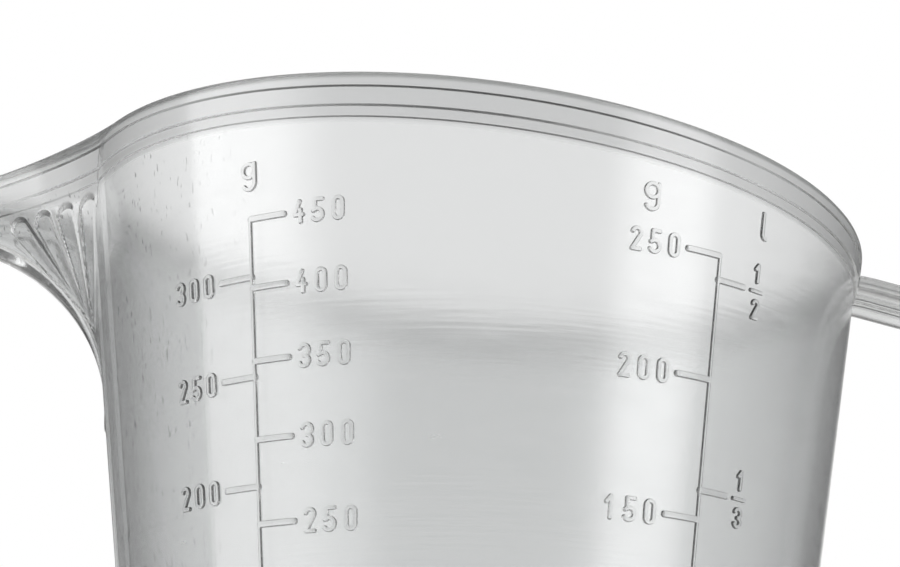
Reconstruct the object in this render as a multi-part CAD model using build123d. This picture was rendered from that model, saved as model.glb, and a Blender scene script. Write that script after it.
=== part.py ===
from build123d import *
import os
from math import cos, degrees, radians, sin, sqrt, tan

# Clear measuring jug of half a litre, in millimetres.
# The jug stands on Z = 0 with its axis on Z. The spout points to -X and the handle to +X.
# The scales are on the -Y side. "Reach" is the distance from the axis towards the spout.
# The real jug is one moulding. Its regions are separate solids here, which meet face to face.

# Cup body
base_radius = 36.0
wall_taper_degrees = 8.13
wall_thickness = 1.6
rim_height = 115.0
rim_tilt_degrees = 5.2
floor_thickness = 2.0
foot_height = 1.6
foot_width = 2.4

# Steps below the rim, from the top down: how far each stands proud of the wall, and how tall it is
bead_proud = 0.55
bead_height = 1.9
band_proud = 0.42
band_height = 2.2
under_band_proud = 0.2
under_band_height = 1.2

# Spout
spout_corner_reach = 46.9
spout_corner_half_width = 24.9
spout_tip_reach = 74.0
spout_tip_half_width = 3.2
spout_narrowing_power = 2.12
spout_wall = 1.8
spout_root_reach = 44.0
lip_droop_start = 50.0
lip_droop = 5.6
keel_tangent_height = 88.5
keel_radius = 25.6
keel_straight_reach = 65.0
keel_half_width = 1.6
keel_rounding = 1.4
nose_half_angle_degrees = 40.0
nose_radius = 4.2

# Flutes pressed into each side of the spout, a fan that closes towards the foot of the keel
flute_count = 4
flute_depth = 0.7
flute_top_width = 2.4
flute_foot_width = 0.8
flute_top_below_lip = 7.2
flute_first_top_reach = 51.4
flute_last_top_reach = 61.6
flute_foot_reach = 50.6
flute_foot_height = 98.4
flute_foot_pitch = 0.45
flute_foot_rise = 0.8

# Handle: a strap with a rib down the middle of its inner side
strap_width = 13.0
strap_thickness = 1.7
handle_rib_width = 4.0
handle_rib_depth = 1.3
handle_top_drop = 2.2
handle_shoulder_reach = 75.8
handle_shoulder_fall = 6.0
handle_heel_reach = 70.5
handle_heel_height = 36.0
handle_foot_height = 31.0
handle_wall_bend = 20.0
handle_shoulder_bend = 14.0
handle_heel_bend = 11.0

# Raised marks
relief = 0.35
line_width = 0.55
tick_width = 0.7
inner_tick_length = 4.7
outer_tick_length = 4.2
digit_height = 3.0
digit_width = 1.6
digit_pitch = 2.5
stroke_width = 0.5
number_gap = 1.2
fraction_digit_height = 2.6
fraction_gap = 0.6
fraction_bar_length = 2.5
fraction_offset = 2.2
sign_height = 3.6
sign_width = 2.2
line_azimuth_degrees = 33.5
half_litre_depth = 91.7
left_sign_drop = 12.0
right_sign_drop = 9.85
right_sign_azimuth_degrees = 22.0
litre_sign_drop = 8.5
litre_sign_azimuth_degrees = 41.0

# Grams of each foodstuff that fill the half litre, and the weights marked on its scale
left_inner_half_litre_grams = 418.0
left_inner_grams = (450, 400, 350, 300, 250, 200, 150, 100, 50)
left_outer_half_litre_grams = 307.5
left_outer_grams = (300, 250, 200, 150, 100, 50)
right_inner_half_litre_grams = 240.0
right_inner_grams = (250, 200, 150, 100, 50)
litre_fraction_parts = (2, 3, 4, 8)

overrun = 5.0
parts_folder = "parts"

taper_slope = tan(radians(wall_taper_degrees))
tilt_slope = tan(radians(rim_tilt_degrees))
floor_top = foot_height + floor_thickness
band_top_drop = bead_height
under_band_top_drop = bead_height + band_height
wall_top_drop = bead_height + band_height + under_band_height
form_top = rim_height + spout_tip_reach * tilt_slope + overrun
span = spout_tip_reach + overrun


def wall_radius(height):
    """Radius of the outside of the wall at a height above the table."""
    return base_radius + height * taper_slope


keel_centre_reach = wall_radius(keel_tangent_height) + keel_radius * cos(radians(wall_taper_degrees))
keel_centre_height = keel_tangent_height - keel_radius * sin(radians(wall_taper_degrees))


def rim_level(reach):
    """Height of the tilted rim plane at a reach towards the spout."""
    return rim_height + reach * tilt_slope


def lip_level(reach):
    """Height of the top edge: the tilted rim, which droops along the spout."""
    share = max(reach - lip_droop_start, 0) / (spout_tip_reach - lip_droop_start)
    return rim_level(reach) - lip_droop * share**2


def lip_half_width(reach, inset):
    """Half width of the spout at its lip, for a surface set in from the outside."""
    share = (spout_tip_reach - reach - inset) / (spout_tip_reach - spout_corner_reach)
    gain = max(share, 0) ** spout_narrowing_power
    return spout_tip_half_width - inset + (spout_corner_half_width - spout_tip_half_width) * gain


def keel_level(reach, inset):
    """Height of the keel: an arc tangent to the wall, then the arc's own tangent out to the tip."""
    arc_reach = min(reach, keel_straight_reach)
    across = keel_centre_reach - arc_reach
    rise = sqrt(max((keel_radius + inset) ** 2 - across**2, 0))
    if reach <= keel_straight_reach:
        return keel_centre_height + rise
    return keel_centre_height + rise + (reach - arc_reach) * across / rise


def cone(grow, bottom, top):
    """Solid cone between two heights, with the wall's outside grown by an amount."""
    corners = [(0, bottom), (wall_radius(bottom) + grow, bottom)]
    corners += [(wall_radius(top) + grow, top), (0, top)]
    return revolve(Plane.XZ * make_face(Polyline(*corners, close=True)), Axis.Z)


def spout_section(reach, inset):
    """Cross-section of the spout: a vee with a rounded keel, with upright sides above the lip."""
    half = lip_half_width(reach, inset)
    keel_half = keel_half_width - inset / 2
    keel = keel_level(reach, inset)
    lip = lip_level(reach)
    corners = [(half, form_top), (half, lip), (keel_half, keel)]
    corners += [(-keel_half, keel), (-half, lip), (-half, form_top)]
    face = make_face(Polyline(*corners, close=True))
    keel_corners = face.vertices().sort_by(Axis.Y)[:2]
    face = fillet(keel_corners, keel_rounding * keel_half / keel_half_width / 2)
    return Plane((-reach, 0, 0), x_dir=(0, -1, 0), z_dir=(-1, 0, 0)) * face


def spout_form(inset):
    """Solid form of the spout, set in from its outside."""
    station_shares = (0, 0.12, 0.18, 0.24, 0.32, 0.42, 0.55, 0.7, 0.85, 1)
    length = span - spout_root_reach
    form = loft([spout_section(spout_root_reach + share * length, inset) for share in station_shares])
    half_angle = radians(nose_half_angle_degrees)
    radius = nose_radius - inset
    apex = spout_tip_reach - nose_radius + radius / sin(half_angle)
    back = apex * tan(half_angle)
    plan = make_face(Polyline((0, -back), (-apex, 0), (0, back), close=True))
    plan = fillet(plan.vertices().sort_by(Axis.X)[0], radius)
    return form & extrude(plan, form_top)


def region_below(drop):
    """Everything below the jug's top edge, once that is lowered by a drop."""
    droop_shares = (0, 0.25, 0.5, 0.75, 1)
    points = []
    for share in droop_shares:
        reach = lip_droop_start + share * (span - lip_droop_start)
        points.append((-reach, lip_level(reach) - drop))
    droop = Spline(*points)
    rim = Line((span, rim_level(-span) - drop), droop @ 0)
    closing = Polyline(droop @ 1, (-span, 0), (span, 0), rim @ 0)
    profile = make_face([rim, droop, closing])
    return extrude(Plane.XZ * profile, span, both=True)


def outer_form(grow):
    """The whole jug's outside without its handle, grown by an amount."""
    return cone(grow, foot_height, form_top) + spout_form(-grow)


def hollow_form():
    """What the jug holds: the inside of the cup with the inside of the spout."""
    return cone(-wall_thickness, floor_top, form_top) + spout_form(spout_wall)


def spout_side():
    """The space beyond the corner of the spout, where the spout's own pieces lie."""
    depth = span - spout_corner_reach
    centre = -(spout_corner_reach + depth / 2)
    return Pos(centre, 0, form_top / 2) * Box(depth, 2 * span, 2 * form_top)


def ring_and_spout(grow, top_drop, bottom_drop, hollow, side):
    """One step of the rim, as its ring round the cup and its length round the spout."""
    step = (outer_form(grow) - hollow) & region_below(top_drop)
    step = step - region_below(bottom_drop)
    return step - side, step & side


def flute_cutter(index):
    """Tapering flute with a round top, as a prism along Y in side view."""
    share = index / (flute_count - 1)
    top_reach = flute_first_top_reach + share * (flute_last_top_reach - flute_first_top_reach)
    foot_reach = flute_foot_reach + index * flute_foot_pitch
    top = (-top_reach, lip_level(top_reach) - flute_top_below_lip)
    foot = (-foot_reach, flute_foot_height + index * flute_foot_rise)
    heads = Pos(*top) * Circle(flute_top_width / 2) + Pos(*foot) * Circle(flute_foot_width / 2)
    return extrude(Plane.XZ * make_hull(heads.edges()), span, both=True)


def handle_path():
    """Centre line of the strap in side view, from inside the cup's wall and back to it."""
    inside = wall_radius(handle_foot_height) / 2
    handle_top_height = rim_level(-wall_radius(rim_height)) - handle_top_drop
    shoulder_height = handle_top_height - handle_shoulder_fall
    heel_to_shoulder = [(handle_shoulder_reach, shoulder_height), (handle_heel_reach, handle_heel_height)]
    points = [(inside, handle_top_height), (wall_radius(handle_top_height), handle_top_height)]
    points += heel_to_shoulder + [(inside, handle_foot_height)]
    bends = [handle_wall_bend, handle_shoulder_bend, handle_heel_bend]
    return FilletPolyline(*points, radius=bends)


def handle_pieces(keep_out):
    """The handle's strap and its inner rib, cut off at the cup."""
    path = handle_path()
    strap = extrude(Plane.XZ * trace(path, strap_thickness), strap_width / 2, both=True)
    wide = trace(path, strap_thickness + 2 * handle_rib_depth) - trace(path, strap_thickness)
    inner_side = make_face([path, Line(path @ 1, path @ 0)])
    rib = extrude(Plane.XZ * (wide & inner_side), handle_rib_width / 2, both=True)
    return strap - keep_out, rib - keep_out


def tangent_plane(azimuth, height):
    """Upright plane that touches the wall, with its X axis running round the cup to the right."""
    angle = radians(azimuth)
    radius = wall_radius(height)
    origin = (radius * sin(angle), -radius * cos(angle), height)
    return Plane(origin, x_dir=(cos(angle), sin(angle), 0), z_dir=(sin(angle), -cos(angle), 0))


def azimuth_step(length, height):
    """Degrees round the wall that a length takes up at a height."""
    return degrees(length / wall_radius(height))


def mark_height(share):
    """Height of the liquid when the jug holds a share of half a litre, by the volume of a cone."""
    floor_radius = wall_radius(floor_top) - wall_thickness
    mark_radius = floor_radius + half_litre_depth * taper_slope
    radius = (floor_radius**3 + share * (mark_radius**3 - floor_radius**3)) ** (1 / 3)
    return floor_top + (radius - floor_radius) / taper_slope


def raised(sketch, azimuth, height, skin):
    """A sketch raised on the wall, with its origin at a place on the wall."""
    prism = extrude(tangent_plane(azimuth, height) * sketch, base_radius, both=True)
    return prism & skin


def stroke(*points):
    """Round-ended stroke along straight runs between points."""
    face = Sketch()
    for start, end in zip(points, points[1:]):
        face += trace(Line(start, end), stroke_width)
    for point in points:
        face += Pos(*point) * Circle(stroke_width / 2)
    return face


def bowl(centre, radius, start_degrees, sweep_degrees):
    """Round-ended stroke along a circular arc."""
    arc = CenterArc(centre, radius, start_degrees, sweep_degrees)
    face = trace(arc, stroke_width)
    for share in (0, 1):
        face += Pos(*(arc @ share)) * Circle(stroke_width / 2)
    return face


def ring(centre, radius):
    """Closed round stroke."""
    return Pos(*centre) * (Circle(radius + stroke_width / 2) - Circle(radius - stroke_width / 2))


def zero(half_width, half_height):
    """Oval stroke between the centre lines of its sides."""
    outer = SlotOverall(2 * half_height + stroke_width, 2 * half_width + stroke_width, 90)
    inner = SlotOverall(2 * half_height - stroke_width, 2 * half_width - stroke_width, 90)
    return outer - inner


def one(half_width, half_height):
    return stroke((-half_width, half_height * 0.45), (0, half_height), (0, -half_height))


def two(half_width, half_height):
    centre = (0, half_height - half_width)
    hook = bowl(centre, half_width, 170, -210)
    neck = (half_width * cos(radians(40)), centre[1] - half_width * sin(radians(40)))
    return hook + stroke(neck, (-half_width, -half_height), (half_width, -half_height))


def three(half_width, half_height):
    radius = half_height / 2
    return bowl((0, radius), radius, 160, -250) + bowl((0, -radius), radius, 90, -250)


def four(half_width, half_height):
    bar = -half_height * 0.3
    slope = stroke((half_width * 0.2, half_height), (-half_width, bar), (half_width, bar))
    return slope + stroke((half_width * 0.4, half_height * 0.2), (half_width * 0.4, -half_height))


def five(half_width, half_height):
    radius = half_height * 0.55
    centre = (half_width - radius, radius - half_height)
    shoulder = (-half_width * 0.8, centre[1] + radius * 0.75)
    top = stroke((half_width, half_height), (-half_width * 0.8, half_height), shoulder)
    return top + bowl(centre, radius, 138, -285)


def eight(half_width, half_height):
    radius = half_height / 2
    return ring((0, radius), radius) + ring((0, -radius), radius)


glyphs = {"0": zero, "1": one, "2": two, "3": three, "4": four, "5": five, "8": eight}


def digit(character, height):
    """One digit, centred, with rounded single strokes."""
    share = height / digit_height
    half_width = (digit_width * share - stroke_width) / 2
    return glyphs[character](half_width, (height - stroke_width) / 2)


def gram_sign():
    """Small letter g."""
    radius = (sign_width - stroke_width) / 2
    top = (sign_height - stroke_width) / 2
    low = radius - top
    stem = stroke((radius, top), (radius, low))
    return ring((0, top - radius), radius) + stem + bowl((0, low), radius, 0, -150)


def litre_sign():
    """Small letter l with a turned foot."""
    top = (sign_height - stroke_width) / 2
    radius = sign_width / 4
    return stroke((0, top), (0, radius - top)) + bowl((radius, radius - top), radius, 180, 100)


def azimuth_beside(side, offset, height):
    """Azimuth of a place an arc's length from a scale line, which may be negative."""
    return side * line_azimuth_degrees + azimuth_step(offset, height)


def number(text, height, side, direction, tick_length, skin):
    """Digits of a number, beyond the free end of its tick."""
    solids = []
    first = tick_length + number_gap + digit_width / 2
    for index, character in enumerate(text):
        place = index if direction > 0 else len(text) - 1 - index
        offset = direction * (first + place * digit_pitch)
        azimuth = azimuth_beside(side, offset, height)
        solids += raised(digit(character, digit_height), azimuth, height, skin).solids()
    return solids


def tick(height, side, direction, tick_length, skin, line):
    """Tick with a round free end, which starts at the side of its scale line."""
    bar = Pos(tick_length / 2 * direction, 0) * Rectangle(tick_length, tick_width)
    bar += Pos(tick_length * direction, 0) * Circle(tick_width / 2)
    azimuth = side * line_azimuth_degrees
    return (raised(bar, azimuth, height, skin) - line).solids()


def scale_line(side, heights, skin):
    """Upright line that carries the ticks of both scales beside it."""
    top = max(heights) + tick_width / 2
    foot = min(heights) - tick_width / 2
    strip = Rectangle(line_width, top - foot)
    return raised(strip, side * line_azimuth_degrees, (top + foot) / 2, skin)


def scale(side, direction, tick_length, marks, skin, line):
    """Ticks and numbers of one scale, from its weights and their heights."""
    ticks = []
    numbers = []
    for grams, height in marks.items():
        ticks += tick(height, side, direction, tick_length, skin, line)
        numbers += number(str(grams), height, side, direction, tick_length, skin)
    return ticks, numbers


def fraction(parts, height, skin):
    """One over a number, beyond the free end of its tick."""
    rise = fraction_gap + (stroke_width + fraction_digit_height) / 2
    azimuth = azimuth_beside(1, outer_tick_length + fraction_offset, height)
    bar = SlotOverall(fraction_bar_length, stroke_width)
    solids = raised(bar, azimuth, height, skin).solids()
    solids += raised(digit("1", fraction_digit_height), azimuth, height + rise, skin).solids()
    below = digit(str(parts), fraction_digit_height)
    return solids + raised(below, azimuth, height - rise, skin).solids()


def sign(sketch, azimuth, drop, skin):
    """A unit sign, which hangs a drop below the tilted rim."""
    height = rim_level(-wall_radius(rim_height) * sin(radians(azimuth))) - drop
    return raised(sketch, azimuth, height, skin).solids()


def mark_nodes():
    """All raised marks on the wall."""
    skin = cone(relief, floor_top, rim_height) - cone(0, floor_top, rim_height)
    left_inner = {g: mark_height(g / left_inner_half_litre_grams) for g in left_inner_grams}
    left_outer = {g: mark_height(g / left_outer_half_litre_grams) for g in left_outer_grams}
    right_inner = {g: mark_height(g / right_inner_half_litre_grams) for g in right_inner_grams}
    fractions = {n: mark_height(2 / n) for n in litre_fraction_parts}
    left_line = scale_line(-1, [*left_inner.values(), *left_outer.values()], skin)
    right_line = scale_line(1, [*right_inner.values(), *fractions.values()], skin)
    nodes = {"scale_line_left": [left_line], "scale_line_right": [right_line]}
    scales = {
        "left_inner": (-1, 1, left_inner, left_line),
        "left_outer": (-1, -1, left_outer, left_line),
        "right_inner": (1, -1, right_inner, right_line),
    }
    for name, (side, direction, marks, line) in scales.items():
        ticks, numbers = scale(side, direction, inner_tick_length, marks, skin, line)
        nodes["ticks_" + name] = ticks
        nodes["numbers_" + name] = numbers
    nodes["ticks_litre"] = []
    nodes["fractions_litre"] = []
    for parts, height in fractions.items():
        nodes["ticks_litre"] += tick(height, 1, 1, outer_tick_length, skin, right_line)
        nodes["fractions_litre"] += fraction(parts, height, skin)
    signs = sign(gram_sign(), -line_azimuth_degrees, left_sign_drop, skin)
    signs += sign(gram_sign(), right_sign_azimuth_degrees, right_sign_drop, skin)
    signs += sign(litre_sign(), litre_sign_azimuth_degrees, litre_sign_drop, skin)
    nodes["unit_signs"] = signs
    return nodes


def body_nodes():
    """Foot, floor, walls, rim steps, spout and handle."""
    hollow = hollow_form()
    side = spout_side()
    foot_inside = cone(-foot_width, -overrun, foot_height)
    nodes = {
        "foot_ring": cone(0, 0, foot_height) - foot_inside,
        "cup_floor": cone(0, foot_height, floor_top),
    }
    wall = (outer_form(0) - cone(0, 0, floor_top) - hollow) & region_below(wall_top_drop)
    flutes = Part() + [flute_cutter(index) for index in range(flute_count)]
    flutes -= outer_form(-flute_depth)
    nodes["cup_wall"] = wall - side
    nodes["spout_shell"] = (wall & side) - flutes
    steps = {
        "under_band": (under_band_proud, under_band_top_drop, wall_top_drop),
        "band": (band_proud, band_top_drop, under_band_top_drop),
        "bead": (bead_proud, 0, band_top_drop),
    }
    keep_out = outer_form(0)
    for name, (proud, top_drop, bottom_drop) in steps.items():
        round_cup, round_spout = ring_and_spout(proud, top_drop, bottom_drop, hollow, side)
        nodes["rim_" + name] = round_cup
        nodes["spout_" + name] = round_spout
        keep_out += round_cup
    nodes["handle_strap"], nodes["handle_rib"] = handle_pieces(keep_out)
    return nodes


os.makedirs(parts_folder, exist_ok=True)
for name, shape in {**body_nodes(), **mark_nodes()}.items():
    solids = shape if isinstance(shape, list) else shape.solids()
    export_step(Compound(children=list(solids)), parts_folder + "/" + name + ".step")
    print(name, len(solids), round(sum(solid.volume for solid in solids), 2))
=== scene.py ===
# %% [markdown]
# # A clear measuring jug, moulded in one shot
# A half-litre jug of clear polystyrene is a hard thing to draw. It has hardly any colour of its
# own: all that the eye gets is how its skin bends and mirrors the light of the room. So most of
# this lesson is about one clean, closed mesh, and the rest is about what there is around it for
# that mesh to bend and mirror.

# %% Load the fixed frame
from math import ceil, cos, hypot, pi, radians, sin, sqrt, tan

import bmesh
import bpy
from mathutils import Matrix, Vector


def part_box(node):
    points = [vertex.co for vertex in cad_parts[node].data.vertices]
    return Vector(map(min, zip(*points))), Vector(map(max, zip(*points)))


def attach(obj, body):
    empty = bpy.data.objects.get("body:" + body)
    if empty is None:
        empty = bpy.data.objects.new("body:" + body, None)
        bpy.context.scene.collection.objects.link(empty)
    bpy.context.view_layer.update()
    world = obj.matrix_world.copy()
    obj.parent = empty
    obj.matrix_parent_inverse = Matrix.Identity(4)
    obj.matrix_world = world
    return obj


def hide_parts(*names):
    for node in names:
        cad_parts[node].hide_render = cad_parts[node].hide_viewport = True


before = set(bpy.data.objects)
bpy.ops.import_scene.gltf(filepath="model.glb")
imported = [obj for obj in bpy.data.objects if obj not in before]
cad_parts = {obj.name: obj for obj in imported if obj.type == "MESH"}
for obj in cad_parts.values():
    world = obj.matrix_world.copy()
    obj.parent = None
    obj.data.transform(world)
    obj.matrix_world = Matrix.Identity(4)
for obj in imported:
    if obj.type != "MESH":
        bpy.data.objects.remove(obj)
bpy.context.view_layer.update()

mm = 0.001

# %% [markdown]
# ## The sizes that drive it
# The jug stands on Z = 0 with its axis on Z, the spout towards -X, the handle towards +X and the
# scales on the -Y side. "Reach" is the distance from the axis towards the spout. Its wall is a
# cone, and its rim is that cone cut by a tilted plane, so most places on it follow from a handful
# of numbers.

# %% Sizes of the cup
base_radius = 36.0 * mm
wall_angle = radians(8.13)
wall_taper = tan(wall_angle)
wall_thickness = 1.6 * mm
rim_height = 115.0 * mm
rim_tilt = tan(radians(5.2))
foot_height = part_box("foot_ring")[1].z
floor_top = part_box("cup_floor")[1].z
foot_width = 2.4 * mm
overrun = 5.0 * mm


def wall_radius(height):
    """Radius of the outside of the wall at a height above the table."""
    return base_radius + height * wall_taper


def rim_level(reach):
    """Height of the tilted rim plane at a reach towards the spout."""
    return rim_height + reach * rim_tilt


# %% [markdown]
# ## Small helpers
# Every form starts in an empty bmesh, is shaped there with operators and ends up as an object.
# The forms are all closed, because the wall that is left when the inside is taken out of the
# outside must hold water, and a ray of light that goes into the plastic must find its way out
# again.

# %% Make an object from a bmesh
weld_distance = 0.002 * mm
fine_weld_distance = 0.001 * mm
sliver_length = 0.0005 * mm


def object_from(form, name):
    """Welds a bmesh, points its faces outwards and turns it into a named object."""
    bmesh.ops.remove_doubles(form, verts=form.verts, dist=weld_distance)
    bmesh.ops.dissolve_degenerate(form, edges=form.edges, dist=sliver_length)
    bmesh.ops.recalc_face_normals(form, faces=form.faces)
    open_edges = sum(not edge.is_manifold for edge in form.edges)
    mesh = bpy.data.meshes.new(name)
    form.to_mesh(mesh)
    form.free()
    made = bpy.data.objects.new(name, mesh)
    bpy.context.scene.collection.objects.link(made)
    print(name, len(mesh.polygons), "faces,", open_edges, "open edges")
    return made


# %% [markdown]
# ## The cup
# A turned shape like this is one profile, spun about its axis. The tilted rim would spoil that,
# so the profile is spun upright first, and then each point slides along its own straight line of
# the cone, by as much as the rim plane asks for. On a cone that leaves the wall exactly where it
# was.

# %% Spin a profile about the axis
ring_segments = 384


def spun(points):
    """Closed solid of revolution about Z, from a profile that starts and ends on the axis."""
    form = bmesh.new()
    corners = [form.verts.new((radius, 0, height)) for radius, height in points]
    edges = [form.edges.new(pair) for pair in zip(corners, corners[1:])]
    bmesh.ops.spin(
        form,
        geom=corners + edges,
        cent=(0, 0, 0),
        axis=(0, 0, 1),
        angle=2 * pi,
        steps=ring_segments,
        use_merge=True,
    )
    bmesh.ops.remove_doubles(form, verts=form.verts, dist=fine_weld_distance)
    return form


def tilted(form, hinge_height, full_drop):
    """Slides the rim of an upright cone along the cone until its top lies in the tilted rim plane."""
    for vertex in form.verts:
        radius = hypot(vertex.co.x, vertex.co.y)
        share = (vertex.co.z - hinge_height) / (rim_height - full_drop - hinge_height)
        if share <= 0 or radius == 0:
            continue
        share = min(share, 1)
        upright = wall_radius(vertex.co.z)
        reach = -vertex.co.x
        rise = share * rim_tilt * reach / (1 - share * rim_tilt * reach * wall_taper / upright)
        vertex.co.x *= 1 + wall_taper * rise / upright
        vertex.co.y *= 1 + wall_taper * rise / upright
        vertex.co.z += rise


def rounded(centre, start, end, steps):
    """Points of a quarter round about a centre, from start to end."""
    points = []
    for step in range(steps + 1):
        turn = step / steps * pi / 2
        pairs = zip(centre, start, end)
        points.append(tuple(c + (s - c) * cos(turn) + (e - c) * sin(turn) for c, s, e in pairs))
    return points


# %% [markdown]
# ### The rim in steps
# Below the top edge the wall is thicker in three steps: a rounded bead, a band and a narrow band
# under it. Each step is only a few tenths of a millimetre, but every one of them draws a thin
# dark line round the jug, because its small ledge bends the light away from the eye.

# %% The rim's profile, as how far it stands proud of the wall and how far below the top edge
bead_proud = 0.55 * mm
bead_height = 1.9 * mm
bead_rounding = 0.8 * mm
band_proud = 0.42 * mm
band_height = 2.2 * mm
under_band_proud = 0.2 * mm
under_band_height = 1.2 * mm
ledge_height = 0.12 * mm
groove_depth = 0.16 * mm
lip_rounding = 0.55 * mm
round_steps = 5

band_drop = bead_height
under_band_drop = bead_height + band_height
rim_drop = under_band_drop + under_band_height
wall_end_drop = rim_drop + ledge_height


def rim_profile():
    """The outside of the rim, from the wall up to its flat top, as pairs of proud and drop."""
    steps = [
        (0, wall_end_drop),
        (under_band_proud, rim_drop),
        (under_band_proud, under_band_drop + ledge_height),
        (under_band_proud - groove_depth, under_band_drop),
        (band_proud, under_band_drop - ledge_height),
        (band_proud, band_drop + ledge_height),
        (band_proud - groove_depth, band_drop),
        (bead_proud, band_drop - ledge_height),
    ]
    flat = bead_proud - bead_rounding
    return steps + rounded((flat, bead_rounding), (bead_proud, bead_rounding), (flat, 0), round_steps)


def lip_profile():
    """The inside of the rim from the inner wall up past the top, for a form that is cut out."""
    centre = (lip_rounding, lip_rounding)
    edge = rounded(centre, (0, lip_rounding), (lip_rounding, 0), round_steps)
    return edge + [(lip_rounding, -overrun)]


# %% The outside and the inside of the cup
hinge_height = 20.0 * mm
foot_rounding = 0.5 * mm
foot_round_steps = 3
floor_rounding = 3.0 * mm
floor_round_steps = 6


def cup_outside():
    """The cup filled solid, with its foot ring and the steps of its rim."""
    inner_foot = base_radius - foot_width
    points = [(0, foot_height), (inner_foot, foot_height), (inner_foot, foot_rounding)]
    centre = (inner_foot + foot_rounding, foot_rounding)
    start = (inner_foot, foot_rounding)
    points += rounded(centre, start, (inner_foot + foot_rounding, 0), foot_round_steps)
    outer_foot = base_radius + foot_rounding * wall_taper
    centre = (outer_foot - foot_rounding, foot_rounding)
    start = (outer_foot - foot_rounding, 0)
    points += rounded(centre, start, (outer_foot, foot_rounding), foot_round_steps)
    points += [(wall_radius(hinge_height), hinge_height)]
    for proud, drop in rim_profile():
        points.append((wall_radius(rim_height - drop) + proud, rim_height - drop))
    form = spun(points + [(0, rim_height)])
    tilted(form, hinge_height, wall_end_drop)
    return object_from(form, "cup_outside")


def cup_inside():
    """What the cup holds, up past the rim."""
    floor_radius = wall_radius(floor_top + floor_rounding) - wall_thickness
    points = [(0, floor_top)] + rounded(
        (floor_radius - floor_rounding, floor_top + floor_rounding),
        (floor_radius - floor_rounding, floor_top),
        (floor_radius, floor_top + floor_rounding),
        floor_round_steps,
    )
    points += [(wall_radius(hinge_height) - wall_thickness, hinge_height)]
    for proud, drop in lip_profile():
        height = rim_height - drop
        points.append((wall_radius(min(height, rim_height)) - wall_thickness + proud, height))
    form = spun(points + [(0, rim_height + overrun)])
    tilted(form, hinge_height, wall_end_drop)
    return object_from(form, "cup_inside")


# %% [markdown]
# ## The spout
# Across its length the spout is a vee with a rounded keel. Its lip is a curve in plan that leaves
# the rim along the rim's own direction and narrows to a small round nose. One half is a flat grid
# of vertices, whose columns run along the lip and whose rows run from the keel up to the lip and
# over it. Each vertex is then moved to its place by formula, and the half is mirrored. A grid
# keeps the quads even, which a loft with a few big faces wouldn't, and even quads are what makes
# a bent surface refract smoothly.

# %% Sizes of the spout
spout_corner_reach = 46.9 * mm
spout_corner_half_width = 24.9 * mm
spout_tip_reach = 74.0 * mm
spout_tip_half_width = 3.2 * mm
spout_narrowing_power = 2.12
spout_wall = 1.8 * mm
spout_root_reach = 44.0 * mm
spout_root_sink = 0.6 * mm
lip_droop_start = 50.0 * mm
lip_droop = 5.6 * mm
keel_tangent_height = 88.5 * mm
keel_radius = 25.6 * mm
keel_straight_reach = 65.0 * mm
keel_half_width = 1.6 * mm
keel_flat_share = 0.4
keel_rounding = 1.1 * mm
keel_rounding_share = 0.3
edge_share = 0.9
nose_radius = 4.2 * mm
nose_half_angle = radians(40)

spout_root_run = spout_corner_reach - spout_root_reach
keel_centre_reach = wall_radius(keel_tangent_height) + keel_radius * cos(wall_angle)
keel_centre_height = keel_tangent_height - keel_radius * sin(wall_angle)


def lip_level(reach):
    """Height of the top edge: the tilted rim, which droops along the spout."""
    share = max(reach - lip_droop_start, 0) / (spout_tip_reach - lip_droop_start)
    return rim_level(reach) - lip_droop * share**2


def lip_half_width(reach, inset):
    """Half width of the spout at its lip, for a surface set in from the outside."""
    share = (spout_tip_reach - reach - inset) / (spout_tip_reach - spout_corner_reach)
    gain = max(share, 0) ** spout_narrowing_power
    half = spout_tip_half_width - inset + (spout_corner_half_width - spout_tip_half_width) * gain
    if reach < spout_corner_reach:
        rim_half = sqrt(wall_radius(rim_level(reach)) ** 2 - reach**2)
        sink = spout_root_sink * (spout_corner_reach - reach) / spout_root_run
        half = min(half, rim_half - inset - sink)
    return half


def keel_level(reach, inset):
    """Height of the keel: an arc tangent to the wall, then the arc's own tangent out to the tip."""
    arc_reach = min(reach, keel_straight_reach)
    across = keel_centre_reach - arc_reach
    rise = sqrt(max((keel_radius + inset) ** 2 - across**2, 0))
    if reach <= keel_straight_reach:
        return keel_centre_height + rise
    return keel_centre_height + rise + (reach - arc_reach) * across / rise


# %% One half of the spout as a grid
outer_grid = (150, 128)
inner_grid = (72, 52)
nose_columns = 12
keel_rows = 6
slope_step = 0.05 * mm
grid_decimals = 6


def plan_stations(inset, columns):
    """Reach, half width and outward direction in plan, from the root along the lip to the nose."""
    radius = nose_radius - inset
    centre = spout_tip_reach - nose_radius
    nose_start = centre + radius * sin(nose_half_angle)
    stations = []
    for column in range(columns + 1):
        reach = spout_root_reach + (nose_start - spout_root_reach) * column / columns
        ahead = lip_half_width(reach + slope_step, inset)
        slope = (ahead - lip_half_width(reach - slope_step, inset)) / (2 * slope_step)
        across = Vector((-slope, 1)).normalized()
        stations.append((reach, lip_half_width(reach, inset), across))
    start_angle = pi / 2 - nose_half_angle
    for column in range(1, nose_columns + 1):
        angle = start_angle * (1 - column / nose_columns)
        across = Vector((cos(angle), sin(angle)))
        stations.append((centre + radius * cos(angle), radius * sin(angle), across))
    return stations


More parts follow.
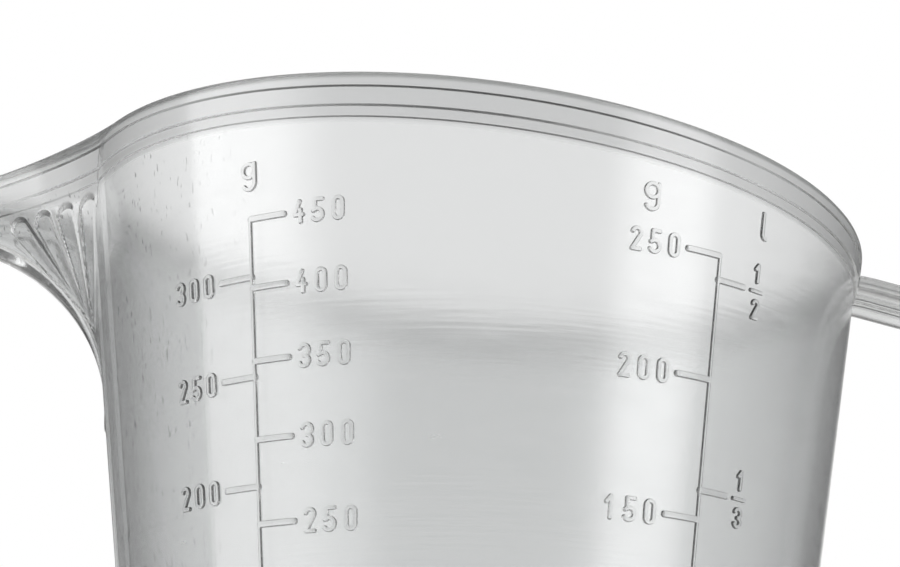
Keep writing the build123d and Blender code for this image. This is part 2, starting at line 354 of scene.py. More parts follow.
def spout_column(reach, lip_half, across, inset, rows, edge, top_drop):
    """One column: the keel, its rounding, the flank, the edge's profile and the top's middle."""
    keel = keel_level(reach, inset)
    lip = lip_level(reach)
    keel_half = min(keel_half_width - inset / 2, lip_half)
    section_half = max(lip_half_width(reach, inset), keel_half)

    def flank(height):
        share = max(height - keel, 0) / (lip - keel)
        return min(keel_half + (section_half - keel_half) * share, lip_half)

    curve_end = keel + min(keel_rounding, (lip - keel) * keel_rounding_share)
    squeeze = min((lip - curve_end) * edge_share / edge[0][1], 1)
    flank_top = lip - edge[0][1] * squeeze
    points = [(0, keel)]
    for row in range(1, keel_rows + 1):
        t = row / keel_rows
        half = (1 - t) ** 2 * keel_half * keel_flat_share + 2 * t * (1 - t) * keel_half
        points.append((half + t**2 * flank(curve_end), keel + t**2 * (curve_end - keel)))
    for row in range(1, rows):
        height = curve_end + (flank_top - curve_end) * row / rows
        points.append((flank(height), height))
    shift = [(0, 0)] * len(points)
    for proud, drop in edge:
        height = lip - drop * (squeeze if drop > 0 else 1)
        points.append((flank(height), height))
        shift.append((across.x * proud, across.y * proud))
    placed = []
    for (half, height), (out, aside) in zip(points, shift):
        placed.append((-(reach + out), half + aside, height))
    return placed + [(placed[-1][0], 0, lip - top_drop)]


def spout_half(inset, grid, edge, top_drop):
    """One side of the spout: a grid, moved column by column to its place."""
    stations = plan_stations(inset, grid[0])
    columns = [spout_column(*station, inset, grid[1], edge, top_drop) for station in stations]
    form = bmesh.new()
    bmesh.ops.create_grid(form, x_segments=len(columns) - 1, y_segments=len(columns[0]) - 1, size=1)
    order = sorted(form.verts, key=lambda vertex: [round(part, grid_decimals) for part in vertex.co.xy])
    for vertex, place in zip(order, [point for column in columns for point in column]):
        vertex.co = place
    return form


# %% [markdown]
# ### Flutes
# Four flutes are pressed into each side of the spout. They fan out from the foot of the keel,
# each a groove that widens upwards and ends in a round top. Here the flank's own vertices are
# pushed in where a flute runs. That keeps the surface one piece, and its edge as soft as a
# moulded one. Round its top a flute slopes in more gently than along its sides, and that slope is
# the crescent which catches the light.

# %% Press the flutes into the flank
flute_count = 4
flute_depth = 0.95 * mm
flute_top_half = 1.3 * mm
flute_foot_half = 0.4 * mm
flute_side_slope = 0.3 * mm
flute_end_slope = 0.9 * mm
flute_top_drop = 7.2 * mm
flute_first_reach = 51.4 * mm
flute_last_reach = 61.6 * mm
flute_foot_reach = 50.6 * mm
flute_foot_height = 98.4 * mm
flute_foot_pitch = 0.45 * mm
flute_foot_rise = 0.8 * mm


def flute_lines():
    """Top and foot of each flute in side view, as reach and height."""
    lines = []
    for index in range(flute_count):
        reach = flute_first_reach + (flute_last_reach - flute_first_reach) * index / (flute_count - 1)
        top = Vector((reach, lip_level(reach) - flute_top_drop))
        foot_reach = flute_foot_reach + index * flute_foot_pitch
        foot = Vector((foot_reach, flute_foot_height + index * flute_foot_rise))
        lines.append((top, foot))
    return lines


def press_flutes(form):
    """Pushes the vertices that lie in a flute inwards, with a soft edge."""
    form.normal_update()
    lines = flute_lines()
    moves = []
    for vertex in form.verts:
        place = Vector((-vertex.co.x, vertex.co.z))
        inside = 0
        for top, foot in lines:
            run = top - foot
            share = (place - foot).dot(run) / run.length_squared
            along = min(max(share, 0), 1)
            half = flute_foot_half + (flute_top_half - flute_foot_half) * along
            past_top = min(max((share - 1) * run.length / half, 0), 1)
            slope = flute_side_slope + (flute_end_slope - flute_side_slope) * past_top
            gap = half - (place - foot - run * along).length
            inside = max(inside, min(max(gap / slope, 0), 1))
        if inside > 0:
            inwards = Vector((0, -1, 0)) if vertex.co.y > 0 else Vector((0, 1, 0))
            moves.append((vertex, inwards * flute_depth * (3 - 2 * inside) * inside**2))
    for vertex, move in moves:
        vertex.co += move


# %% Close the spout's two halves
def closed_spout(form):
    """Mirrors one half and closes the cut at its root."""
    for vertex in form.verts:
        if abs(vertex.co.y) < fine_weld_distance:
            vertex.co.y = 0
    everything = form.verts[:] + form.edges[:] + form.faces[:]
    bmesh.ops.mirror(form, geom=everything, axis="Y", merge_dist=fine_weld_distance)
    bmesh.ops.remove_doubles(form, verts=form.verts, dist=weld_distance)
    loose = [edge for edge in form.edges if not edge.link_faces]
    bmesh.ops.delete(form, geom=loose, context="EDGES")
    bmesh.ops.holes_fill(form, edges=[edge for edge in form.edges if edge.is_boundary], sides=0)
    return form


def spout_outside():
    """The spout filled solid, with the steps of the rim and its flutes."""
    form = spout_half(0, outer_grid, rim_profile(), 0)
    press_flutes(form)
    return object_from(closed_spout(form), "spout_outside")


def spout_inside():
    """The channel of the spout, open upwards."""
    half = spout_half(spout_wall, inner_grid, lip_profile(), -overrun)
    return object_from(closed_spout(half), "spout_inside")


# %% [markdown]
# ## The handle
# The handle is one strap with a rib down the middle of its inner side. Its cross-section is a
# face, which is extruded along each straight run and spun round each bend, just as a strip would
# be bent on a bench.

# %% Sizes of the handle
strap_width = 13.0 * mm
strap_thickness = 1.7 * mm
strap_rounding = 0.6 * mm
strap_round_steps = 4
handle_rib_width = 4.0 * mm
handle_rib_depth = 1.3 * mm
handle_top_drop = 2.2 * mm
handle_shoulder_reach = 75.8 * mm
handle_shoulder_fall = 6.0 * mm
handle_heel_reach = 70.5 * mm
handle_heel_height = 36.0 * mm
handle_foot_height = 31.0 * mm
handle_bends = (20.0 * mm, 14.0 * mm, 11.0 * mm)
bend_steps = 14


def handle_corners():
    """Corners of the strap's centre line in side view, from inside the cup's wall and back to it."""
    inside = wall_radius(handle_foot_height) / 2
    top = rim_level(-wall_radius(rim_height)) - handle_top_drop
    return [
        (inside, top),
        (wall_radius(top), top),
        (handle_shoulder_reach, top - handle_shoulder_fall),
        (handle_heel_reach, handle_heel_height),
        (inside, handle_foot_height),
    ]


def strap_section(place):
    """The strap's cross-section at a place, with rounded edges and the rib on its inner side."""
    half = strap_width / 2
    thick = strap_thickness / 2
    rib = handle_rib_width / 2
    low = -thick - handle_rib_depth
    outline = [(-half, thick), (half, thick), (half, -thick), (rib, -thick), (rib, low), (-rib, low)]
    outline += [(-rib, -thick), (-half, -thick)]
    form = bmesh.new()
    corners = [form.verts.new((place[0], across, place[1] + up)) for across, up in outline]
    form.faces.new(corners)
    bmesh.ops.bevel(
        form,
        geom=corners,
        offset=strap_rounding,
        segments=strap_round_steps,
        profile=0.5,
        affect="VERTICES",
        material=-1,
    )
    return form


def unique(items):
    """The items in their own order, each of them once."""
    return list(dict.fromkeys(items))


def far_edges(made):
    """The edges of a new loop, out of what an extrusion returns."""
    corners = {item for item in made if isinstance(item, bmesh.types.BMVert)}
    edges = [item for item in made if isinstance(item, bmesh.types.BMEdge)]
    return [edge for edge in edges if corners.issuperset(edge.verts)]


def handle():
    """The strap and its rib, extruded along the runs and spun round the bends."""
    places = handle_corners()
    corners = [Vector((x, 0, z)) for x, z in places]
    form = strap_section(places[0])
    bmesh.ops.delete(form, geom=form.faces[:], context="FACES_ONLY")
    loop = form.edges[:]
    spent = 0
    for index, corner in enumerate(corners[1:]):
        run = corner - corners[index]
        last = index == len(corners) - 2
        turn = 0 if last else run.angle(corners[index + 2] - corner)
        cut = 0 if last else handle_bends[index] * tan(turn / 2)
        made = bmesh.ops.extrude_edge_only(form, edges=loop)["geom"]
        loop = far_edges(made)
        ends = unique(vertex for edge in loop for vertex in edge.verts)
        bmesh.ops.translate(form, verts=ends, vec=run.normalized() * (run.length - spent - cut))
        if not last:
            side = Vector((0, 1, 0)).cross(run.normalized())
            centre = corner - run.normalized() * cut + side * handle_bends[index]
            turned = bmesh.ops.spin(
                form, geom=loop + ends, cent=centre, axis=(0, 1, 0), angle=turn, steps=bend_steps
            )
            loop = far_edges(turned["geom_last"])
        spent = cut
    bmesh.ops.holes_fill(form, edges=[edge for edge in form.edges if edge.is_boundary], sides=0)
    return object_from(form, "handle")


# %% [markdown]
# ## Raised marks
# The mould is engraved with a round-nosed cutter, so each mark stands on the wall as a low ridge
# with a round end. In clear plastic such a ridge has no colour either. Its steep sides throw the
# light aside and look dark, and its top lets it through, and so the eye reads a thin dark
# outline. A ridge is a ring of vertices, extruded from place to place along a stroke. The strokes
# of one digit cross, so they go into three sets, in which no ridge touches another, and the sets
# are joined to the wall one after the other.

# %% Sizes of the marks
half_litre_depth = 91.7 * mm
line_azimuth = radians(33.5)
ridge_height = 0.35 * mm
ridge_sink = 0.06 * mm
line_half = 0.2 * mm
tick_half = 0.42 * mm
stroke_half = 0.27 * mm
inner_tick_length = 4.7 * mm
outer_tick_length = 4.2 * mm
digit_height = 3.0 * mm
digit_width = 1.6 * mm
digit_pitch = 2.5 * mm
number_gap = 1.2 * mm
fraction_digit_height = 2.6 * mm
fraction_gap = 0.6 * mm
fraction_bar_length = 2.5 * mm
fraction_offset = 2.2 * mm
sign_height = 3.6 * mm
sign_width = 2.2 * mm
left_sign_drop = 12.0 * mm
right_sign_drop = 9.85 * mm
litre_sign_drop = 8.5 * mm
right_sign_azimuth = radians(22)
litre_sign_azimuth = radians(41)
left_inner_grams = range(450, 0, -50)
left_inner_half_litre = 418
left_outer_grams = range(300, 0, -50)
left_outer_half_litre = 307.5
right_inner_grams = range(250, 0, -50)
right_inner_half_litre = 240
litre_fraction_parts = (2, 3, 4, 8)


def mark_height(share):
    """Height of the liquid when the jug holds a share of half a litre, by the volume of a cone."""
    floor_radius = wall_radius(floor_top) - wall_thickness
    mark_radius = floor_radius + half_litre_depth * wall_taper
    radius = (floor_radius**3 + share * (mark_radius**3 - floor_radius**3)) ** (1 / 3)
    return floor_top + (radius - floor_radius) / wall_taper


# %% Strokes of the digits and signs
stroke_step = radians(18)


def arc(centre, radius, start_degrees, sweep_degrees):
    """Points along an arc."""
    steps = ceil(abs(radians(sweep_degrees)) / stroke_step)
    angles = [radians(start_degrees + sweep_degrees * step / steps) for step in range(steps + 1)]
    return [(centre[0] + radius * cos(angle), centre[1] + radius * sin(angle)) for angle in angles]


def oval(half_width, half_height):
    """Closed oval with straight sides."""
    top = arc((0, half_height - half_width), half_width, 0, 180)
    bottom = arc((0, half_width - half_height), half_width, 180, 180)
    return top + bottom + top[:1]


def strokes_of(character, half_width, half_height):
    """The strokes of a digit or sign as lists of points, one stroke for each set of ridges."""
    bowl = half_height / 2
    if character == "0":
        return [oval(half_width, half_height)]
    if character == "1":
        flag = [(0, half_height), (-half_width, half_height * 0.45)]
        return [[(0, half_height), (0, -half_height)], flag]
    if character == "2":
        hook = arc((0, half_height - half_width), half_width, 170, -210)
        foot = [(-half_width, -half_height), (half_width, -half_height)]
        return [hook + foot[:1], foot]
    if character == "3":
        return [arc((0, bowl), bowl, 160, -250), arc((0, -bowl), bowl, 90, -250)]
    if character == "4":
        bar = -half_height * 0.3
        slope = [(half_width * 0.2, half_height), (-half_width, bar)]
        stem = [(half_width * 0.4, half_height * 0.2), (half_width * 0.4, -half_height)]
        return [slope, [(-half_width, bar), (half_width, bar)], stem]
    if character == "5":
        radius = half_height * 0.55
        centre = (half_width - radius, radius - half_height)
        back = [(-half_width * 0.8, half_height), (-half_width * 0.8, centre[1] + radius * 0.75)]
        top = [(half_width, half_height), (-half_width * 0.8, half_height)]
        return [top, back, arc(centre, radius, 138, -285)]
    if character == "8":
        return [arc((0, bowl), bowl, 0, 360), arc((0, -bowl), bowl, 0, 360)]
    if character == "g":
        low = half_width - half_height
        tail = [(half_width, half_height), (half_width, low)] + arc((0, low), half_width, 0, -150)[1:]
        return [arc((0, half_height - half_width), half_width, 0, 360), tail]
    if character == "l":
        turn = half_width * 0.7
        return [[(0, half_height)] + arc((turn, turn - half_height), turn, 180, 100)]
    raise ValueError(character)


# %% A ridge along a stroke
ridge_sides = 12
ridge_squareness = 0.5
ridge_step = 0.6 * mm
spot_decimals = 9
end_angles = [radians(angle) for angle in (75, 48, 22)]


def on_wall(azimuth, height, aside, rise):
    """A place on the wall and the wall's outward normal there, beside and above a given place."""
    angle = azimuth + aside / wall_radius(height)
    radius = wall_radius(height + rise)
    place = Vector((radius * sin(angle), -radius * cos(angle), height + rise))
    level = cos(wall_angle)
    return place, Vector((sin(angle) * level, -cos(angle) * level, -sin(wall_angle)))


def divided(points):
    """A stroke's points with more between them where a run is long."""
    result = [points[0]]
    for start, end in zip(points, points[1:]):
        parts = max(1, round(hypot(end[0] - start[0], end[1] - start[1]) / ridge_step))
        for part in range(1, parts + 1):
            result.append(tuple(s + (e - s) * part / parts for s, e in zip(start, end)))
    return result


def ridge_stations(places, half_width, closed):
    """Centre, direction, outward normal and size of each ring of vertices along a ridge."""
    stations = []
    count = len(places)
    for index, (place, normal) in enumerate(places):
        before = places[(index - 1) % count if closed else max(index - 1, 0)][0]
        after = places[(index + 1) % count if closed else min(index + 1, count - 1)][0]
        stations.append((place, (after - before).normalized(), normal, 1))
    if closed:
        return stations
    starts = []
    ends = []
    for angle in end_angles:
        for station, sign, rings in ((stations[0], -1, starts), (stations[-1], 1, ends)):
            place, along, normal, _ = station
            rings.append((place + along * sign * half_width * sin(angle), along, normal, cos(angle)))
    return starts + stations + ends[::-1]


def spot(vertex):
    """A vertex's place, rounded so that a copy made on the same spot has the same one."""
    return tuple(round(part, spot_decimals) for part in vertex.co)


def ridge(form, places, half_width, closed):
    """Adds one watertight ridge to a form, along places on the wall."""
    made = bmesh.ops.create_circle(form, cap_ends=not closed, radius=1, segments=ridge_sides)
    circle = made["verts"]
    loop = unique(edge for vertex in circle for edge in vertex.link_edges)
    corners = list(circle)
    first = loop
    for index, (place, along, normal, size) in enumerate(ridge_stations(places, half_width, closed)):
        if index:
            loop = far_edges(bmesh.ops.extrude_edge_only(form, edges=loop)["geom"])
            copies = {spot(vertex): vertex for edge in loop for vertex in edge.verts}
            corners = [copies[spot(vertex)] for vertex in corners]
        across = along.cross(normal).normalized()
        for corner, vertex in enumerate(corners):
            angle = 2 * pi * corner / ridge_sides
            aside = abs(cos(angle)) ** ridge_squareness * (1 if cos(angle) > 0 else -1)
            up = abs(sin(angle)) ** ridge_squareness * (1 if sin(angle) > 0 else -1)
            rise = up * (ridge_height + ridge_sink) * size - ridge_sink
            vertex.co = place + across * aside * half_width * size + normal * rise
    if closed:
        bmesh.ops.bridge_loops(form, edges=first + loop)
    else:
        bmesh.ops.contextual_create(form, geom=loop)


# %% Collect the strokes of all marks
mark_sets = [[], [], []]
inner_tick_set = 1
outer_tick_set = 2


def add_strokes(strokes, azimuth, height, half_width, first_set=0):
    """Puts strokes, drawn about a place on the wall, into the sets of ridges."""
    for index, points in enumerate(strokes):
        gap = hypot(points[0][0] - points[-1][0], points[0][1] - points[-1][1])
        closed = gap < fine_weld_distance
        outline = divided(points)
        outline = outline[:-1] if closed else outline
        places = [on_wall(azimuth, height, aside, rise) for aside, rise in outline]
        mark_sets[first_set + index].append((places, half_width, closed))


def add_character(character, azimuth, height, tall, wide):
    """Puts one digit or sign on the wall."""
    strokes = strokes_of(character, wide / 2 - stroke_half, tall / 2 - stroke_half)
    add_strokes(strokes, azimuth, height, stroke_half)


def add_number(text, azimuth, height, direction, tick_length):
    """Puts a number beyond the free end of its tick."""
    first = tick_length + number_gap + digit_width / 2
    for index, character in enumerate(text):
        place = index if direction > 0 else len(text) - 1 - index
        turn = direction * (first + place * digit_pitch) / wall_radius(height)
        add_character(character, azimuth + turn, height, digit_height, digit_width)


def add_scale(azimuth, direction, grams, half_litre_grams, tick_set):
    """Puts the ticks and numbers of one scale on the wall and returns their heights."""
    heights = [mark_height(weight / half_litre_grams) for weight in grams]
    for weight, height in zip(grams, heights):
        tick = [(0, 0), (direction * inner_tick_length, 0)]
        add_strokes([tick], azimuth, height, tick_half, tick_set)
        add_number(str(weight), azimuth, height, direction, inner_tick_length)
    return heights


def add_fractions(azimuth):
    """Puts the ticks and fractions of the litre scale on the wall and returns their heights."""
    heights = [mark_height(2 / parts) for parts in litre_fraction_parts]
    rise = fraction_gap + stroke_half + fraction_digit_height / 2
    width = digit_width * fraction_digit_height / digit_height
    for parts, height in zip(litre_fraction_parts, heights):
        add_strokes([[(0, 0), (outer_tick_length, 0)]], azimuth, height, tick_half, outer_tick_set)
        beside = azimuth + (outer_tick_length + fraction_offset) / wall_radius(height)
        bar = fraction_bar_length / 2 - stroke_half
        add_strokes([[(-bar, 0), (bar, 0)]], beside, height, stroke_half)
        add_character("1", beside, height + rise, fraction_digit_height, width)
        add_character(str(parts), beside, height - rise, fraction_digit_height, width)
    return heights


def add_line(azimuth, heights):
    """Puts the upright line of a scale on the wall, from its lowest to its highest tick."""
    middle = (max(heights) + min(heights)) / 2
    half = (max(heights) - min(heights)) / 2
    add_strokes([[(0, half), (0, -half)]], azimuth, middle, line_half)


def add_sign(character, azimuth, drop):
    """Puts the letter of a unit on the wall, a drop below the tilted rim."""
    height = rim_level(-wall_radius(rim_height) * sin(azimuth)) - drop
    add_character(character, azimuth, height, sign_height, sign_width)


# %% Place the marks and build their ridges
left_heights = add_scale(-line_azimuth, 1, left_inner_grams, left_inner_half_litre, inner_tick_set)
left_heights += add_scale(-line_azimuth, -1, left_outer_grams, left_outer_half_litre, outer_tick_set)
right_heights = add_scale(line_azimuth, -1, right_inner_grams, right_inner_half_litre, inner_tick_set)
right_heights += add_fractions(line_azimuth)
add_line(-line_azimuth, left_heights)
add_line(line_azimuth, right_heights)
add_sign("g", -line_azimuth, left_sign_drop)
add_sign("g", right_sign_azimuth, right_sign_drop)
add_sign("l", litre_sign_azimuth, litre_sign_drop)


def mark_ridges(index):
    """All ridges of one set as one object."""
    form = bmesh.new()
    for places, half_width, closed in mark_sets[index]:
        one = bmesh.new()
        ridge(one, places, half_width, closed)
        mesh = bpy.data.meshes.new("ridge")
        one.to_mesh(mesh)
        one.free()
        form.from_mesh(mesh)
        bpy.data.meshes.remove(mesh)
    return object_from(form, f"marks_{index + 1}")


# %% [markdown]
# ## Clear polystyrene
# The real jug is injection-moulded general purpose polystyrene: as clear as glass, but harder to
# look through than glass, because it bends light more (its index is 1.59) and its mould was
# polished only so far. To the eye that means bright edges, strong mirror images of the windows,
# and a far rim that is a soft grey ribbon. Principled with full transmission does most of this,
# and a little roughness gives the softness. Three noises, each squashed or stretched upright,
# stand for the turning marks of the mould, for scuffs from stacking and washing, and for small
# nicks on the spout's side of the wall. The rim has a roughness of its own and a darker colour,
# and that darker colour is painted shade, which helps the far rim read as a grey ribbon.
#
# The plastic gets three skins. The outside took the shine of the mould's cavity, the inside the
# rougher finish of its core, and the marks the smooth cut of the engraver; the marks are also
# tinted darker than the wall, and that tint is painted shade. One thing isn't physics: a shadow
# ray finds the plastic nearly gone, because a straight ray towards a lamp can't be bent, and the
# jug's shadow would be black without that.

# %% Colours and nodes
def linear(hex_colour):
    """Linear colour from an sRGB hex value."""
    channels = [int(hex_colour[start:start + 2], 16) / 255 for start in (1, 3, 5)]
    return [c / 12.92 if c <= 0.04045 else ((c + 0.055) / 1.055) ** 2.4 for c in channels] + [1]


def socket_of(sockets, name):
    """A socket by its number or its name; a Mix node has unused ones of the same name."""
    if isinstance(name, int):
        return sockets[name]
    return next(socket for socket in sockets if socket.name == name and socket.enabled)


def add_node(tree, kind, values=(), links=(), **settings):
    """Adds a node with its settings, the values of its inputs and what feeds them."""
    node = tree.nodes.new(kind)
    for name, value in settings.items():
        setattr(node, name, value)
    for name, value in dict(values).items():
        socket_of(node.inputs, name).default_value = value
    for name, source in dict(links).items():
        tree.links.new(source, socket_of(node.inputs, name))
    return node


def remapped(tree, source, before, after=(0, 1), soft=False):
    """A value carried over from one range to another, and held within that."""
    limits = {"From Min": before[0], "From Max": before[1], "To Min": after[0], "To Max": after[1]}
    course = "SMOOTHSTEP" if soft else "LINEAR"
    node = add_node(tree, "ShaderNodeMapRange", limits, {"Value": source}, interpolation_type=course)
    return node.outputs["Result"]


def product(tree, first, second):
    """One value times another."""
    node = add_node(tree, "ShaderNodeMath", links={0: first, 1: second}, operation="MULTIPLY")
    return node.outputs["Value"]


def mixed(tree, factor, first, second, kind="FLOAT"):
    """A blend of two values or colours, each a constant or the output of a node."""
    ends = {"A": first, "B": second}
    links = {name: end for name, end in ends.items() if isinstance(end, bpy.types.NodeSocket)}
    values = {name: end for name, end in ends.items() if name not in links}
    node = add_node(tree, "ShaderNodeMix", values, {"Factor": factor, **links}, data_type=kind)
    return socket_of(node.outputs, "Result")


def stretched_noise(tree, place, level_size, upright_size, **values):
    """Noise whose spots have one size along the level and another upright."""
    scale = (1 / level_size, 1 / level_size, 1 / upright_size)
    mapping = add_node(tree, "ShaderNodeMapping", {"Scale": scale}, {"Vector": place})
    grain = {"Scale": 1, **values}
    noise = add_node(tree, "ShaderNodeTexNoise", grain, {"Vector": mapping.outputs["Vector"]})
    return noise.outputs["Fac"]


# %% The jug's material
polystyrene_index = 1.59
turning_pitch = 0.45 * mm
turning_length = 14.0 * mm
turning_depth = 0.02 * mm
turning_strength = 0.45
scuff_pitch = 2.2 * mm
scuff_length = 7.0 * mm
scuff_range = (0.45, 0.75)
nick_width = 0.5 * mm
nick_length = 1.8 * mm
nick_range = (0.69, 0.74)
nick_side = (-26 * mm, -44 * mm)
nick_hex = "#7C7D7D"
rim_blend = 0.3 * mm
shadow_alpha = 0.12


def clear_polystyrene(name, hex_colour, roughness_range, rim_shade_hex, rim_roughness):
    """Injection-moulded clear polystyrene with turning marks, scuffs, nicks, and a rim with its own
    roughness and a darker colour that is painted shade.
    """
    material = bpy.data.materials.new(name)
    material.use_nodes = True
    tree = material.node_tree
    tree.nodes.clear()
    place = add_node(tree, "ShaderNodeTexCoord").outputs["Object"]
    turning = stretched_noise(tree, place, turning_length, turning_pitch, Detail=2)
    bump = add_node(
        tree,
        "ShaderNodeBump",
        {"Strength": turning_strength, "Distance": turning_depth},
        {"Height": turning},
    )
    scuffs = stretched_noise(tree, place, scuff_length, scuff_pitch, Detail=5, Roughness=0.6)
    roughness = remapped(tree, scuffs, scuff_range, roughness_range)
    nick_noise = stretched_noise(tree, place, nick_width, nick_length, Detail=1)
    aside = add_node(tree, "ShaderNodeSeparateXYZ", links={"Vector": place}).outputs["X"]
    nicks = product(tree, remapped(tree, nick_noise, nick_range), remapped(tree, aside, nick_side))
    colour = mixed(tree, nicks, linear(hex_colour), linear(nick_hex), "RGBA")
    # In the rim band, above the rim's lowest step, the roughness turns to the rim's own value and the
    # colour turns darker; that darker colour is painted shade on the rim.
    over_rim_plane = add_node(
        tree, "ShaderNodeVectorMath", {1: (rim_tilt, 0, 1)}, {0: place}, operation="DOT_PRODUCT"
    )
    rim_start = rim_height - rim_drop
    rim_edge = (rim_start - rim_blend, rim_start + rim_blend)
    rim_shade_and_roughness_mask = remapped(tree, over_rim_plane.outputs["Value"], rim_edge)
    path = add_node(tree, "ShaderNodeLightPath")
    shader = add_node(
        tree,
        "ShaderNodeBsdfPrincipled",
        {"Transmission Weight": 1, "IOR": polystyrene_index},
        {
            "Alpha": remapped(tree, path.outputs["Is Shadow Ray"], (0, 1), (1, shadow_alpha)),
            "Base Color": mixed(tree, rim_shade_and_roughness_mask, colour, linear(rim_shade_hex), "RGBA"),
            "Roughness": mixed(tree, rim_shade_and_roughness_mask, roughness, rim_roughness),
            "Normal": bump.outputs["Normal"],
        },
    )
    add_node(tree, "ShaderNodeOutputMaterial", links={"Surface": shader.outputs["BSDF"]})
    return material


# Each skin's rim colour is darker than its wall colour, most of all on the inside: painted shade, so
# that the far rim seen through the wall reads as a grey ribbon.
outer_skin = clear_polystyrene(
    "cavity_side_clear_polystyrene", "#E3E4E4", (0.1, 0.18), rim_shade_hex="#D8D9D9", rim_roughness=0.14
)
inner_skin = clear_polystyrene(
    "core_side_clear_polystyrene", "#E6E7E7", (0.2, 0.28), rim_shade_hex="#C4C5C5", rim_roughness=0.42
)
# The marks' colour is darker than the outside's colour: painted shade on the ridges.
mark_skin = clear_polystyrene(
    "engraved_mark_clear_polystyrene", "#D0D1D1", (0.06, 0.1), rim_shade_hex="#D0D1D1", rim_roughness=0.1
)
print("materials", outer_skin.name, inner_skin.name, mark_skin.name)

# %% [markdown]
# ## One closed shell
# The outside forms are joined, and the inside forms are cut out of them. The manifold solver does
# that in moments on closed forms, and what comes out is closed again, so that the light meets
# plastic and air by turns and nothing else. The pieces of the exact model stay hidden under it.

# %% Join the outside and cut out the inside
sharp_angle = radians(28)


def joined(base, tools, operation):
    """Applies Boolean modifiers to an object, one for each tool, and removes the tools."""
    for tool in tools:
        modifier = base.modifiers.new(tool.name, "BOOLEAN")
        modifier.object = tool
        modifier.operation = operation
        modifier.solver = "MANIFOLD"
    graph = bpy.context.evaluated_depsgraph_get()
    shaped = bpy.data.meshes.new_from_object(base.evaluated_get(graph))
    base.modifiers.clear()
    base.data = shaped
    for tool in tools:
        bpy.data.objects.remove(tool)
    return base


skins = (outer_skin, inner_skin, mark_skin)
marks = [mark_ridges(index) for index in range(len(mark_sets))]
outsides = [cup_outside(), spout_outside(), handle()]
insides = [cup_inside(), spout_inside()]
for index, solids in enumerate((outsides, insides, marks)):
    for solid in solids:
        for skin in skins:
            solid.data.materials.append(skin)
        for polygon in solid.data.polygons:
            polygon.material_index = index
jug = joined(outsides[0], outsides[1:] + marks, "UNION")
print("outside", len(jug.data.polygons))
jug = joined(jug, insides, "DIFFERENCE")
jug.name = "jug_shell"
for polygon in jug.data.polygons:
    polygon.use_smooth = True
jug.data.set_sharp_from_angle(angle=sharp_angle)

# %% Check the shell
indices = [polygon.material_index for polygon in jug.data.polygons]
print("faces of each skin", [indices.count(index) for index in range(len(skins))])
check = bmesh.new()
check.from_mesh(jug.data)
open_edges = sum(not edge.is_manifold for edge in check.edges)
print("shell", len(jug.data.polygons), "faces,", open_edges, "open edges")
print("volume in cm3", round(check.calc_volume() * 1e6, 2))
check.free()

# %% Let the shell stand for the nodes
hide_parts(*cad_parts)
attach(jug, "root")
print("jug_shell stands for", len(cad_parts), "nodes")

# %% [markdown]
# ## The studio
# Clear things are photographed against light: the ground behind is white, and what is beside and
# above is darker, so that every edge finds something dark to bend. Here the rays that come through
# the plastic find a dark ceiling and a grey card on each side of the backdrop, and its mirror
# images find a dark room with one bright place behind. Two tall soft boxes, one on each side of
# the camera, draw the broad bright bands down the wall.

# %% Floor
stage_radius = 1.2
stage_segments = 96
stage_gap = 0.05 * mm


def stage_floor():
    """A plain pale floor just below the foot ring."""
    form = bmesh.new()
    bmesh.ops.create_circle(form, cap_ends=True, radius=stage_radius, segments=stage_segments)
    bmesh.ops.translate(form, verts=form.verts, vec=(0, 0, -stage_gap))
    floor = object_from(form, "floor")
    paint = bpy.data.materials.new("matt_pale_table_paint")
    paint.use_nodes = True
    shader = paint.node_tree.nodes["Principled BSDF"]
    shader.inputs["Base Color"].default_value = linear("#ECECEA")
    shader.inputs["Roughness"].default_value = 0.7
    floor.data.materials.append(paint)
    return floor


stage_floor()

# %% The room round it
ceiling_level = 0.03
ceiling_edge = (0.45, 0.6)
card_level = 0.25
card_inner_edge = (0.44, 0.62)
card_outer_edge = (0.93, 0.99)
mirror_level = 0.08
mirror_edge = (0.88, 0.96)
matt_level = 0.8


def room():
    """White for the camera, and a level of light of its own for each kind of ray."""
    world = bpy.data.worlds.new("studio")
    bpy.context.scene.world = world
    world.use_nodes = True
    tree = world.node_tree
    tree.nodes.clear()
    direction = add_node(tree, "ShaderNodeTexCoord").outputs["Generated"]
    split = add_node(tree, "ShaderNodeSeparateXYZ", links={"Vector": direction})
    ceiling = remapped(tree, split.outputs["Z"], ceiling_edge, (1, ceiling_level), soft=True)
    aside = add_node(tree, "ShaderNodeMath", links={0: split.outputs["X"]}, operation="ABSOLUTE")
    past_inner = remapped(tree, aside.outputs["Value"], card_inner_edge, soft=True)
    before_outer = remapped(tree, aside.outputs["Value"], card_outer_edge, (1, 0), soft=True)
    behind = add_node(
        tree, "ShaderNodeMath", {1: 0}, {0: split.outputs["Y"]}, operation="GREATER_THAN"
    )
    card = product(tree, product(tree, past_inner, before_outer), behind.outputs["Value"])
    seen_through = product(tree, ceiling, remapped(tree, card, (0, 1), (1, card_level)))
    mirrored = remapped(tree, split.outputs["Y"], mirror_edge, (mirror_level, 1), soft=True)
    path = add_node(tree, "ShaderNodeLightPath")
    opaque = mixed(tree, path.outputs["Is Glossy Ray"], matt_level, mirrored)
    clear = mixed(tree, path.outputs["Is Transmission Ray"], opaque, seen_through)
    strength = mixed(tree, path.outputs["Is Camera Ray"], clear, 1)
    white = {"Color": linear("#FFFFFF")}
    background = add_node(tree, "ShaderNodeBackground", white, {"Strength": strength})
    add_node(tree, "ShaderNodeOutputWorld", links={"Surface": background.outputs["Background"]})


room()
print("world set")

# %% Soft boxes
box_distance = 0.45
box_height = 0.64


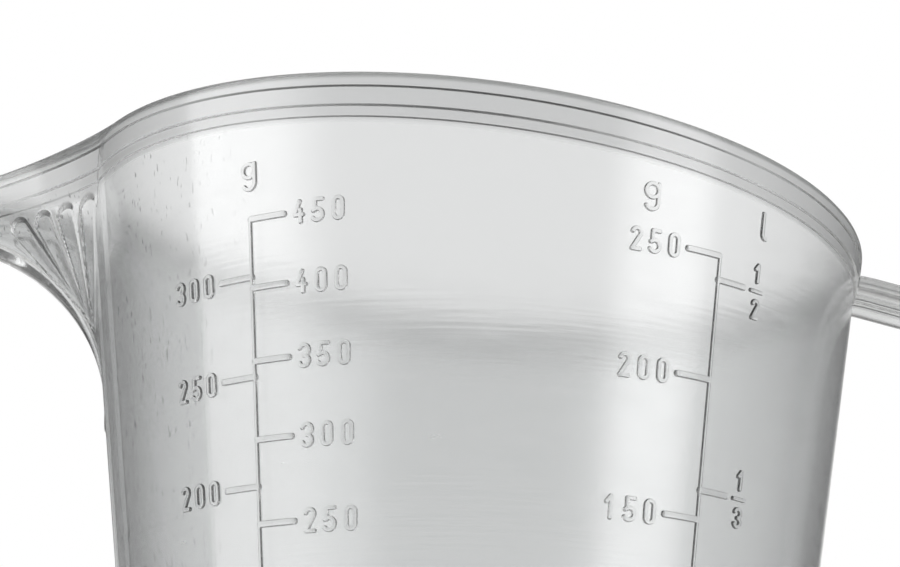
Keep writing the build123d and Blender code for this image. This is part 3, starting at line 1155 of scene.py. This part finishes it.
def soft_box(name, azimuth, width, radiance, side_fades):
    """A tall lamp that faces the jug and fades towards its sides; azimuth 0 is the camera's side."""
    light = bpy.data.lights.new(name, "AREA")
    light.shape = "RECTANGLE"
    light.size = width
    light.size_y = box_height
    light.energy = radiance * pi * width * box_height
    light.use_nodes = True
    tree = light.node_tree
    surface = add_node(tree, "ShaderNodeNewGeometry").outputs["Parametric"]
    across = add_node(tree, "ShaderNodeSeparateXYZ", links={"Vector": surface}).outputs["X"]
    first_fade = remapped(tree, across, (0, side_fades[0]), soft=True)
    second_fade = remapped(tree, across, (1, 1 - side_fades[1]), soft=True)
    strength = product(tree, first_fade, second_fade)
    tree.links.new(strength, tree.nodes["Emission"].inputs["Strength"])
    lamp = bpy.data.objects.new(name, light)
    bpy.context.scene.collection.objects.link(lamp)
    place = Vector((box_distance * sin(azimuth), -box_distance * cos(azimuth), box_height / 2))
    aim = Vector((0, 0, box_height / 2)) - place
    lamp.matrix_world = Matrix.Translation(place) @ aim.to_track_quat("-Z", "Y").to_matrix().to_4x4()
    lamp.visible_camera = False


soft_box("left_soft_box", radians(-62), width=0.4, radiance=2.3, side_fades=(0.06, 0.45))
soft_box("right_soft_box", radians(51), width=0.32, radiance=2.4, side_fades=(0.35, 0.35))
print("soft boxes hung")

# %% Camera
camera_place = Vector((-9.53, -298.9, 7.42)) * mm
camera_heading = radians(1.208)
camera_elevation = radians(18.515)
camera_roll = radians(1.652)
camera_lens = 92.57
camera_sensor_width = 36
camera_clip_start = 0.01

camera = bpy.data.objects.new("camera", bpy.data.cameras.new("camera"))
bpy.context.scene.collection.objects.link(camera)
camera.data.lens = camera_lens
camera.data.sensor_width = camera_sensor_width
camera.data.clip_start = camera_clip_start
camera.matrix_world = (
    Matrix.Translation(camera_place)
    @ Matrix.Rotation(-camera_heading, 4, "Z")
    @ Matrix.Rotation(pi / 2 + camera_elevation, 4, "X")
    @ Matrix.Rotation(camera_roll, 4, "Z")
)
bpy.context.scene.camera = camera
bpy.context.scene.view_settings.view_transform = "Standard"
